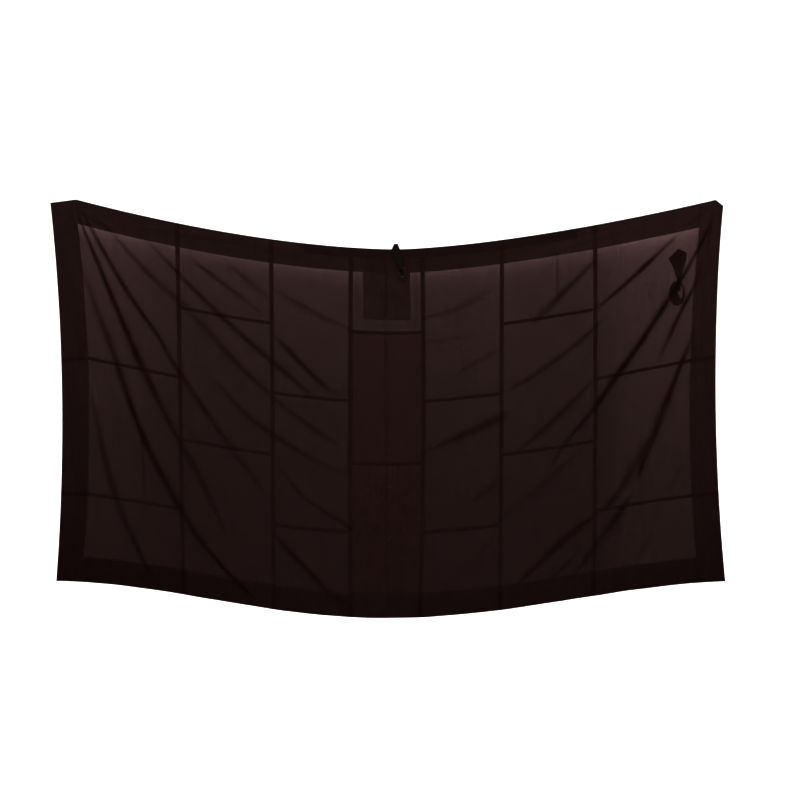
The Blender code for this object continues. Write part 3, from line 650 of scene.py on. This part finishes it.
class Nodes:
    """Short calls for building one material's nodes."""

    def __init__(self, name):
        self.material = bpy.data.materials.new(name)
        self.material.use_nodes = True
        self.tree = self.material.node_tree
        self.tree.nodes.clear()

    def add(self, kind, inputs=(), **settings):
        node = self.tree.nodes.new(kind)
        for key, value in settings.items():
            setattr(node, key, value)
        for key, value in dict(inputs).items():
            if isinstance(value, bpy.types.NodeSocket):
                self.tree.links.new(value, node.inputs[key])
            else:
                node.inputs[key].default_value = value
        return node

    def math(self, operation, a, b=0.0, clamp=False):
        return self.add("ShaderNodeMath", {0: a, 1: b}, operation=operation, use_clamp=clamp).outputs[0]

    def attribute(self, name):
        return self.add("ShaderNodeAttribute", attribute_name=name).outputs["Fac"]

    def noise(self, vector, scale, detail, low, high):
        """Noise about 1, spread from low to high."""
        noise = self.add("ShaderNodeTexNoise", {"Vector": vector, "Scale": scale, "Detail": detail})
        spread = self.add(
            "ShaderNodeMapRange",
            {"Value": noise.outputs["Fac"], "From Min": 0.3, "From Max": 0.7, "To Min": low, "To Max": high},
            clamp=False,
        )
        return spread.outputs["Result"]

    def grain(self, cut, scale, detail, low, high):
        """Noise about 1 that is stretched over the cut."""
        stretched = self.add("ShaderNodeMapping", {"Vector": cut, "Scale": scale}).outputs["Vector"]
        return self.noise(stretched, 1.0, detail, low, high)


THREAD_PITCH = 0.6 * MM

# Unevenness of the dye: scale across, down and through the cut, detail, least and most
WARP_SLUB = ((900, 14, 1), 2.0, 0.88, 1.12)
WEFT_SLUB = ((14, 900, 1), 2.0, 0.88, 1.12)
LONG_STREAK = ((150, 6, 1), 2.0, 0.92, 1.08)
BLOTCH = ((26, 17, 1), 4.0, 0.91, 1.09)

# Bunched cloth and painted shade: the share of its red, green and blue that the cloth keeps there, and how
# far its holes close
BUNCHED_AND_SHADE_KEEPS = (0.46, 0.26, 0.24)
BUNCHED_AND_SHADE_CLOSED = 0.75

# Colour of the light that comes straight through the holes, and of the light that threads scatter
HOLE_TINT = (1.0, 0.785, 0.772)
GLOW = (0.50, 0.13, 0.115)
DOUBLED_GLOW = (0.50, 0.10, 0.09)


def weave_height(nodes, cut):
    """Height of a plain weave over the cut: two sets of threads at right angles."""
    parts = nodes.add("ShaderNodeSeparateXYZ", {"Vector": cut})
    turn = 2 * math.pi / THREAD_PITCH
    warp = nodes.math("SINE", nodes.math("MULTIPLY", parts.outputs["X"], turn))
    weft = nodes.math("SINE", nodes.math("MULTIPLY", parts.outputs["Y"], turn))
    return nodes.math("MULTIPLY", warp, weft)


def make_cloth(name, colour, through, glow, glow_colour=GLOW):
    """Cloth of one dye: through is its share of the sheer cloth's light, glow what it scatters of that."""
    nodes = Nodes(name)
    cut = nodes.add("ShaderNodeUVMap", uv_map="cut").outputs["UV"]
    bunched_and_painted_shade = nodes.attribute("bunched_and_painted_shade")
    both_slubs = nodes.math("MULTIPLY", nodes.grain(cut, *WARP_SLUB), nodes.grain(cut, *WEFT_SLUB))
    slub = nodes.math("MULTIPLY", both_slubs, nodes.grain(cut, *LONG_STREAK))
    blotch = nodes.grain(cut, *BLOTCH)
    # Painted shade: the colour darkens towards this deep copy where the cloth is bunched and shaded
    fully_shaded_colour = [share * keep for share, keep in zip(colour, BUNCHED_AND_SHADE_KEEPS)]
    dye_with_painted_shade = nodes.add(
        "ShaderNodeMix", {0: bunched_and_painted_shade, 6: (*colour, 1), 7: (*fully_shaded_colour, 1)}, data_type="RGBA"
    ).outputs[2]
    # The dye value carries painted shade: darker downwards on the doubled panels and the border
    value = nodes.math("MULTIPLY", nodes.attribute("dye_and_painted_shade"), nodes.math("MULTIPLY", slub, blotch))
    base = nodes.add("ShaderNodeVectorMath", {0: dye_with_painted_shade, "Scale": value}, operation="SCALE").outputs[0]
    crinkle = nodes.add("ShaderNodeTexNoise", {"Vector": cut, "Scale": 90.0, "Detail": 3.0})
    rough = nodes.add(
        "ShaderNodeBump", {"Height": crinkle.outputs["Fac"], "Strength": 0.35, "Distance": 0.5 * MM}
    )
    woven = nodes.add(
        "ShaderNodeBump",
        {
            "Height": weave_height(nodes, cut),
            "Strength": 0.15,
            "Distance": 0.08 * MM,
            "Normal": rough.outputs["Normal"],
        },
    ).outputs["Normal"]
    cloth = nodes.add(
        "ShaderNodeBsdfPrincipled",
        {
            "Base Color": base,
            "Roughness": 0.85,
            "Specular IOR Level": 0.015,
            "Specular Tint": (1, 0.5, 0.48, 1),
            "Sheen Weight": 0.008,
            "Sheen Roughness": 0.5,
            "Sheen Tint": (0.8, 0.5, 0.48, 1),
            "Normal": woven,
        },
    ).outputs["BSDF"]
    scatter = nodes.add("ShaderNodeBsdfTranslucent", {"Color": (*glow_colour, 1), "Normal": woven})
    # Painted shade: bunched and shaded places let less light through the holes
    open_share = nodes.math("SUBTRACT", 1.0, nodes.math("MULTIPLY", bunched_and_painted_shade, BUNCHED_AND_SHADE_CLOSED))
    share = nodes.math("MULTIPLY", nodes.attribute("through"), open_share)
    glow_share = nodes.math("MULTIPLY", share, glow)
    scattered = nodes.add("ShaderNodeMixShader", {0: glow_share, 1: cloth, 2: scatter.outputs[0]})
    holes = nodes.add("ShaderNodeBsdfTransparent", {"Color": (*HOLE_TINT, 1)})
    hole_share = nodes.math("MULTIPLY", nodes.math("MULTIPLY", share, slub), through, clamp=True)
    sheer = nodes.add("ShaderNodeMixShader", {0: hole_share, 1: scattered.outputs[0], 2: holes.outputs[0]})
    nodes.add("ShaderNodeOutputMaterial", {"Surface": sheer.outputs[0]})
    return nodes.material


def make_plain(name, colour, roughness, specular, coat=0.0, bump_scale=400.0, bump=0.1):
    """A material for the small pieces: thread, tabs and horn."""
    nodes = Nodes(name)
    coords = nodes.add("ShaderNodeTexCoord").outputs["Object"]
    speck = nodes.noise(coords, bump_scale, 3.0, 0.8, 1.2)
    base = nodes.add("ShaderNodeVectorMath", {0: colour, "Scale": speck}, operation="SCALE").outputs[0]
    height = nodes.add("ShaderNodeTexNoise", {"Vector": coords, "Scale": bump_scale, "Detail": 3.0})
    normal = nodes.add(
        "ShaderNodeBump", {"Height": height.outputs["Fac"], "Strength": bump, "Distance": 0.3 * MM}
    )
    shader = nodes.add(
        "ShaderNodeBsdfPrincipled",
        {
            "Base Color": base,
            "Roughness": roughness,
            "Specular IOR Level": specular,
            "Coat Weight": coat,
            "Coat Roughness": 0.1,
            "Normal": normal.outputs["Normal"],
        },
    )
    nodes.add("ShaderNodeOutputMaterial", {"Surface": shader.outputs["BSDF"]})
    return nodes.material


SHEER = make_cloth("sheer_voile", (0.0059, 0.0024, 0.0022), through=1.0, glow=0.25)
DOUBLED = make_cloth("doubled_voile", (0.0085, 0.0033, 0.0030), 0.58, 0.25, DOUBLED_GLOW)
BAND = make_cloth("band_voile", (0.0065, 0.0028, 0.0025), through=0.20, glow=0.1)
PATCH = make_cloth("patch_voile", (0.0096, 0.0044, 0.0040), through=0.20, glow=0.1)
BORDER = make_cloth("border_voile", (0.0080, 0.0036, 0.0033), through=0.10, glow=0.1)
THREAD = make_plain("sewing_thread", (0.011, 0.005, 0.005), roughness=0.7, specular=0.15)
TAB_CLOTH = make_plain("tab_cloth", (0.0030, 0.0020, 0.0015), 0.85, 0.02, bump_scale=1800.0, bump=0.35)
HORN = make_plain("black_horn", (0.0050, 0.0043, 0.0035), 0.17, 0.05, coat=0.02, bump_scale=120.0, bump=0.04)


# Cloth pieces


def build_strips():
    edges = strip_edges()
    for strip in range(7):
        stops = (INSIDE_T[0], *cross_seams(strip), INSIDE_T[1])
        for row, place in enumerate(("top", "middle", "bottom")):
            doubled = strip == 3 and row > 0
            shell(
                f"strip_{strip + 1}_{place}",
                (edges[strip], edges[strip + 1]),
                (stops[row], stops[row + 1]),
                DOUBLED_SHELL if doubled else PANEL_SHELL,
                DOUBLED if doubled else SHEER,
                shade=frame_rows if (strip, row) == (3, 0) else None,
                dye_and_painted_shade=doubled_painted_shade if doubled else even_dye,
            )


def build_bands():
    for seam in range(1, 7):
        shell(f"upright_band_{seam}", band_span(seam), INSIDE_T, ON_PANEL_SHELL, BAND)
    for strip in range(7):
        for number, seam in enumerate(cross_seams(strip), 1):
            name = f"cross_band_{strip + 1}_{number}"
            span = (seam - CROSS_BAND, seam)
            shell(name, between_bands(strip), span, ON_PANEL_SHELL, BAND)


def build_border():
    sides = {
        "border_left": ((0, INSIDE_S[0]), (0, HEIGHT)),
        "border_right": ((INSIDE_S[1], WIDTH), (0, HEIGHT)),
        "border_top": (INSIDE_S, (0, INSIDE_T[0])),
        "border_bottom": (INSIDE_S, (INSIDE_T[1], HEIGHT)),
    }
    for name, (s_span, t_span) in sides.items():
        shell(name, s_span, t_span, BORDER_SHELL, BORDER, True, hidden_seams, border_painted_shade)


def build_neck():
    span = (0, COLLAR_DEPTH)
    shell("neck_strip", COLLAR_SPAN, span, ON_BORDER_SHELL, BORDER, dye_and_painted_shade=neck_dye)
    shell("neck_patch", PATCH_SPAN, (TOP_BORDER, PATCH_BOTTOM), ON_PANEL_SHELL, PATCH)


# Stitches


def on_grid(values, s, t):
    """Values of the shared grid at flat places s, t, read between its lines."""
    i = np.clip(np.searchsorted(ACROSS, s) - 1, 0, len(ACROSS) - 2)
    j = np.clip(np.searchsorted(DOWN, t) - 1, 0, len(DOWN) - 2)
    u = ((s - ACROSS[i]) / (ACROSS[i + 1] - ACROSS[i]))[:, None]
    v = ((t - DOWN[j]) / (DOWN[j + 1] - DOWN[j]))[:, None]
    upper = values[j, i] * (1 - u) + values[j, i + 1] * u
    lower = values[j + 1, i] * (1 - u) + values[j + 1, i + 1] * u
    return upper * (1 - v) + lower * v


def stitch_ends(start, end):
    """Flat places of the two ends of each stitch on a straight line of the cut."""
    start, end = np.array(start, float), np.array(end, float)
    length = np.linalg.norm(end - start)
    along = (end - start) / length
    count = int(length / STITCH_PITCH)
    first = (length - (count - 1) * STITCH_PITCH - STITCH_LENGTH) / 2
    places = first + STITCH_PITCH * np.arange(count)
    return start + places[:, None] * along, start + (places + STITCH_LENGTH)[:, None] * along


def box_lines(s_span, t_span, inset):
    """The four lines round a piece, a little inside its edges: top, bottom, left and right."""
    (s0, s1), (t0, t1) = (s_span[0] + inset, s_span[1] - inset), (t_span[0] + inset, t_span[1] - inset)
    return [((s0, t0), (s1, t0)), ((s0, t1), (s1, t1)), ((s0, t0), (s0, t1)), ((s1, t0), (s1, t1))]


def stitches(name, lines_and_lifts):
    """Rows of short threads, each a small prism with pointed ends that dips into the cloth."""
    blocks, faces, made = [], [], 0
    for (start, end), lift in lines_and_lifts:
        first, last = stitch_ends(start, end)
        a = on_grid(PLACE, first[:, 0], first[:, 1])
        b = on_grid(PLACE, last[:, 0], last[:, 1])
        normal = on_grid(NORMAL, first[:, 0], first[:, 1])
        side = np.cross(normal, b - a)
        side /= np.linalg.norm(side, axis=1, keepdims=True)
        tips = [a + normal * lift, b + normal * lift]
        rings = []
        for share in STITCH_SHOULDERS:
            middle = a + (b - a) * share + normal * (lift + 0.5 * STITCH_RADIUS)
            for angle in (90, 210, 330):
                turn = math.radians(angle)
                rings.append(middle + STITCH_RADIUS * (math.sin(turn) * normal + math.cos(turn) * side))
        block = np.stack([tips[0], *rings, tips[1]], axis=1)
        for o in range(8 * made, 8 * (made + len(block)), 8):
            for i in range(3):
                j = (i + 1) % 3
                faces.append((o, o + 1 + j, o + 1 + i))
                faces.append((o + 1 + i, o + 1 + j, o + 4 + j, o + 4 + i))
                faces.append((o + 4 + i, o + 4 + j, o + 7))
        blocks.append(block)
        made += len(block)
    return new_object(name, np.concatenate(blocks).reshape(-1, 3), faces, THREAD)


def build_stitches():
    on_band, on_border, on_neck = ON_PANEL_SHELL[1], BORDER_SHELL[1], ON_BORDER_SHELL[1]
    upright = []
    for seam in range(1, 7):
        sides = box_lines(band_span(seam), INSIDE_T, STITCH_FROM_EDGE)[2:]
        upright += [(line, on_band) for line in sides]
    stitches("stitches_upright_bands", upright)
    cross = []
    for strip in range(7):
        for seam in cross_seams(strip):
            ends = box_lines(between_bands(strip), (seam - CROSS_BAND, seam), STITCH_FROM_EDGE)[:2]
            cross += [(line, on_band) for line in ends]
    stitches("stitches_cross_bands", cross)
    border = box_lines(INSIDE_S, INSIDE_T, -STITCH_FROM_EDGE)
    border += box_lines((0, WIDTH), (0, HEIGHT), HEM_STITCH_FROM_EDGE)
    stitches("stitches_border", [(line, on_border) for line in border])
    neck = [(line, on_neck) for line in box_lines(COLLAR_SPAN, (0, COLLAR_DEPTH), STITCH_FROM_EDGE)]
    patch = box_lines(PATCH_SPAN, (TOP_BORDER, PATCH_BOTTOM), STITCH_FROM_EDGE)[1:]
    neck += [(line, on_band) for line in patch]
    stitches("stitches_neck", neck)
    frame_lines = []
    for away in FRAME_STITCH_ROWS:
        left, right, bottom = PATCH_SPAN[0] - away, PATCH_SPAN[1] + away, PATCH_BOTTOM + away
        frame_lines += [((left, TOP_BORDER), (left, bottom)), ((right, TOP_BORDER), (right, bottom))]
        frame_lines.append(((left, bottom), (right, bottom)))
    stitches("stitches_neck_frame", [(line, PANEL_SHELL[1]) for line in frame_lines])


# Hook, ring and their tabs, in millimetres. They follow the solids, and the ring's tab has a fuller
# neck. Squareness is 1 for a round section and less for one with flatter sides.

TAB_HALF_THICKNESS, TAB_EDGE, TAB_THINNER = 0.75, 2.2, 0.72
TAB_SIDES, TAB_SQUARENESS = 20, (0.4, 0.6)
HOOK_Y, HOOK_Z, HOOK_BAR, HOOK_SIDES = -8.04, -197.0, 2.4, 20
RING_MIDDLE = (853.5, 2.97, -271.5)
RING_OUTER = (24.0, 37.5)
RING_HOLE = (7.0, 18.5)
RING_HOLE_OFFSET = (11.0, 5.0)
RING_HALF_THICKNESS = 2.5
RING_STEPS, RING_SIDES, RING_SQUARENESS = 120, 16, (0.7, 0.6)
# Round stretches: middle of the oval and its half sizes
TAB_OVER_EDGE = (-0.695, -125.45), (2.945, 2.945)
HOOK_LOOP = (HOOK_Y, HOOK_Z), (3.65, 3.65)
HOOK_SHOULDER = (33.2, -201.0), (4.0, 4.0)
HOOK_BEND = (28.6, -215.0), (8.6, 8.6)
RING_LOOP = (2.97, -247.5), (4.75, 17.6)


def arc(middle, half_sizes, first, last, count):
    """Evenly spaced points on an oval, from one angle in degrees to another."""
    for angle in np.radians(np.linspace(first, last, count)):
        yield middle[0] + half_sizes[0] * math.cos(angle), middle[1] + half_sizes[1] * math.sin(angle)


HOOK_TAB = (
    # x, y, z, half width: up behind the top edge, over it, down in front and round the hook's bar
    (10.0, 2.25, -170.5, 17.0),
    (10.0, 2.25, -144.5, 15.0),
    (10.0, 2.25, -130.5, 10.0),
    *((10.0, y, z, 7.0) for y, z in arc(*TAB_OVER_EDGE, 0, 180, 7)),
    (11.0, -3.64, -140.0, 10.0),
    (13.0, -3.64, -150.0, 17.0),
    (16.0, -3.64, -162.0, 17.0),
    (21.0, -7.29, -178.0, 10.0),
    *((26.0, y, z, 4.2) for y, z in arc(*HOOK_LOOP, 180, 480, 11)),
)
RING_TAB = (
    # x, y, z, half width: the kite, its neck and the loop round the ring
    (857.5, 0.01, -137.7, 1.5),
    (864.0, -0.60, -150.3, 20.0),
    (855.0, -0.40, -166.5, 26.5),
    (858.3, -0.89, -195.0, 16.5),
    (857.8, -2.07, -212.0, 10.5),
    (859.0, -1.78, -229.0, 6.4),
    (858.5, -1.78, -241.8, 4.8),
    (861.2, -1.78, -249.5, 3.3),
    *((861.2, y, z, 3.3) for y, z in arc(*RING_LOOP, 210, 480, 10)),
)
HOOK_PATH = (
    # x, z, radius: across in the tab's loop, down, round the bend and up to the point
    (19.0, HOOK_Z, HOOK_BAR),
    (24.0, HOOK_Z, HOOK_BAR),
    (30.2, HOOK_Z, HOOK_BAR),
    *((x, z, HOOK_BAR) for x, z in arc(*HOOK_SHOULDER, 90, 0, 4)),
    *((x, z, HOOK_BAR) for x, z in arc(*HOOK_BEND, 0, -154, 8)),
    (20.0, -215.6, 2.3),
    (20.0, -211.5, 2.1),
    (20.0, -208.0, 1.1),
)


def between(rows, steps):
    """Rows of numbers with evenly spaced rows added between them."""
    rows = np.array(rows, float)
    wanted = np.linspace(0, len(rows) - 1, (len(rows) - 1) * steps + 1)
    return np.stack([np.interp(wanted, np.arange(len(rows)), column) for column in rows.T], axis=1)


def rounded(rows, times):
    """Rows with their corners rounded by averaging neighbours; both ends stay."""
    for _ in range(times):
        rows[1:-1] = (rows[:-2] + 2 * rows[1:-1] + rows[2:]) / 4
    return rows


def skin(name, rings, material, closed=False):
    """A closed solid through rings of points, given in millimetres."""
    rings = np.array(rings) * MM
    count, sides = rings.shape[:2]
    faces = []
    for k in range(count if closed else count - 1):
        here, there = k * sides, (k + 1) % count * sides
        for i in range(sides):
            j = (i + 1) % sides
            faces.append((here + i, here + j, there + j, there + i))
    if not closed:
        faces.append(tuple(range(sides))[::-1])
        faces.append(tuple((count - 1) * sides + i for i in range(sides)))
    piece = new_object(name, rings.reshape(-1, 3), faces, material)
    mesh = piece.data
    mesh.calc_loop_triangles()
    corners = np.array([[mesh.vertices[v].co for v in tri.vertices] for tri in mesh.loop_triangles])
    if np.linalg.det(corners).sum() < 0:
        mesh.flip_normals()
    return piece


def turns(count):
    """Cosine and sine at evenly spaced places round a circle."""
    for k in range(count):
        turn = 2 * math.pi * k / count
        yield math.cos(turn), math.sin(turn)


def squared(value, squareness):
    """A cosine or sine pushed outwards, which makes a round section squarer."""
    return math.copysign(abs(value) ** squareness, value)


def strap(node, rows):
    """A doubled strap of cloth through rows of x, y, z and half width, with thick rolled edges."""
    rows = between(rows, steps=4)
    rows[:, 1:3] = rounded(rows[:, 1:3].copy(), times=2)
    along = np.gradient(rows[:, 1:3], axis=0)
    along /= np.linalg.norm(along, axis=1, keepdims=True)
    rings = []
    for (x, y, z, half_width), (dy, dz) in zip(rows, along):
        ring = []
        for cosine, sine in turns(TAB_SIDES):
            across = half_width * squared(cosine, TAB_SQUARENESS[0])
            through = TAB_HALF_THICKNESS * squared(sine, TAB_SQUARENESS[1])
            through *= 1 if abs(across) > half_width - TAB_EDGE else TAB_THINNER
            ring.append((x + across, y + dz * through, z - dy * through))
        rings.append(ring)
    piece = skin(node + "_strap", rings, TAB_CLOTH)
    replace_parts(piece, node)
    return piece


def build_hook():
    """A round bar along the hook's path."""
    rows = rounded(between(HOOK_PATH, steps=5), times=3)
    along = np.gradient(rows[:, :2], axis=0)
    along /= np.linalg.norm(along, axis=1, keepdims=True)
    rings = []
    for (x, z, radius), (dx, dz) in zip(rows, along):
        ring = []
        for cosine, sine in turns(HOOK_SIDES):
            ring.append((x - dz * radius * cosine, HOOK_Y + radius * sine, z + dx * radius * cosine))
        rings.append(ring)
    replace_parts(skin("hook_bar", rings, HORN), "hook")


def build_ring():
    """A flat bar between the ring's outer oval and its hole."""
    centre_x, centre_y, centre_z = RING_MIDDLE
    rings = []
    for direction in turns(RING_STEPS):
        outer = np.array(direction) * RING_OUTER
        inner = np.array(RING_HOLE_OFFSET) + np.array(direction) * RING_HOLE
        middle, half = (outer + inner) / 2, (outer - inner) / 2
        ring = []
        for cosine, sine in turns(RING_SIDES):
            x, z = middle + half * squared(cosine, RING_SQUARENESS[0])
            depth = RING_HALF_THICKNESS * squared(sine, RING_SQUARENESS[1])
            ring.append((centre_x + x, centre_y + depth, centre_z + z))
        rings.append(ring)
    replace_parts(skin("ring_bar", rings, HORN, closed=True), "ring")


# Camera, backdrop and light

CAMERA_CENTRE = (0.0225, -0.591)
CAMERA_DISTANCE = 5.667
CAMERA_LENS = 85.0
FLOOR_Z = -2.60
BACKDROP_Y = 9.0
BACKDROP_BEND, BACKDROP_BEND_STEPS = 5.0, 24
BACKDROP_TOP, BACKDROP_SIDE = 9.0, 12.0


def build_stage():
    """A seamless pale sheet: floor in front, wall behind, with a wide bend between them."""
    profile = [(-BACKDROP_Y, FLOOR_Z), (BACKDROP_Y - BACKDROP_BEND, FLOOR_Z)]
    for k in range(1, BACKDROP_BEND_STEPS + 1):
        turn = math.pi / 2 * k / BACKDROP_BEND_STEPS
        y = BACKDROP_Y - BACKDROP_BEND + BACKDROP_BEND * math.sin(turn)
        profile.append((y, FLOOR_Z + BACKDROP_BEND * (1 - math.cos(turn))))
    profile.append((BACKDROP_Y, BACKDROP_TOP))
    points = [(x, y, z) for y, z in profile for x in (-BACKDROP_SIDE, BACKDROP_SIDE)]
    faces = [(2 * k, 2 * k + 1, 2 * k + 3, 2 * k + 2) for k in range(len(profile) - 1)]
    mesh = bpy.data.meshes.new("backdrop")
    mesh.from_pydata(points, [], faces)
    mesh.shade_smooth()
    nodes = Nodes("backdrop_paper")
    paper = nodes.add("ShaderNodeBsdfDiffuse", {"Color": (0.93, 0.93, 0.93, 1), "Roughness": 0.5})
    nodes.add("ShaderNodeOutputMaterial", {"Surface": paper.outputs[0]})
    mesh.materials.append(nodes.material)
    sheet = bpy.data.objects.new("backdrop", mesh)
    bpy.context.scene.collection.objects.link(sheet)


def build_light():
    world = bpy.data.worlds.new("studio")
    world.use_nodes = True
    background = world.node_tree.nodes["Background"]
    background.inputs["Color"].default_value = (1, 1, 1, 1)
    background.inputs["Strength"].default_value = 0.5
    bpy.context.scene.world = world
    lights = (
        # name, place, aimed at, width, height, watts
        ("key", (-0.6, -2.2, 3.2), (0.0, 0.0, -0.5), 2.4, 1.6, 220),
        ("fill", (1.6, -4.2, 0.4), (0.1, 0.0, -0.6), 2.2, 2.2, 25),
        ("backdrop_wash", (0.0, 3.6, 1.0), (0.0, 8.5, -1.6), 6.0, 6.0, 560),
    )
    for name, place, aim, width, height, watts in lights:
        data = bpy.data.lights.new(name, "AREA")
        data.shape = "RECTANGLE"
        data.size, data.size_y, data.energy = width, height, watts
        light = bpy.data.objects.new(name, data)
        light.location = place
        towards = Vector(aim) - Vector(place)
        light.rotation_euler = towards.to_track_quat("-Z", "Y").to_euler()
        light.visible_camera = False
        bpy.context.scene.collection.objects.link(light)


def build_camera():
    data = bpy.data.cameras.new("camera")
    data.lens, data.sensor_width = CAMERA_LENS, 36.0
    camera = bpy.data.objects.new("camera", data)
    camera.location = (CAMERA_CENTRE[0], -CAMERA_DISTANCE, CAMERA_CENTRE[1])
    camera.rotation_euler = (math.pi / 2, 0, 0)
    bpy.context.scene.collection.objects.link(camera)
    bpy.context.scene.camera = camera
    bpy.context.scene.view_settings.view_transform = "Standard"


build_camera()
build_stage()
build_light()
build_strips()
build_bands()
build_border()
build_neck()
build_stitches()
strap("hook_tab", HOOK_TAB)
strap("ring_tab", RING_TAB)
build_hook()
build_ring()
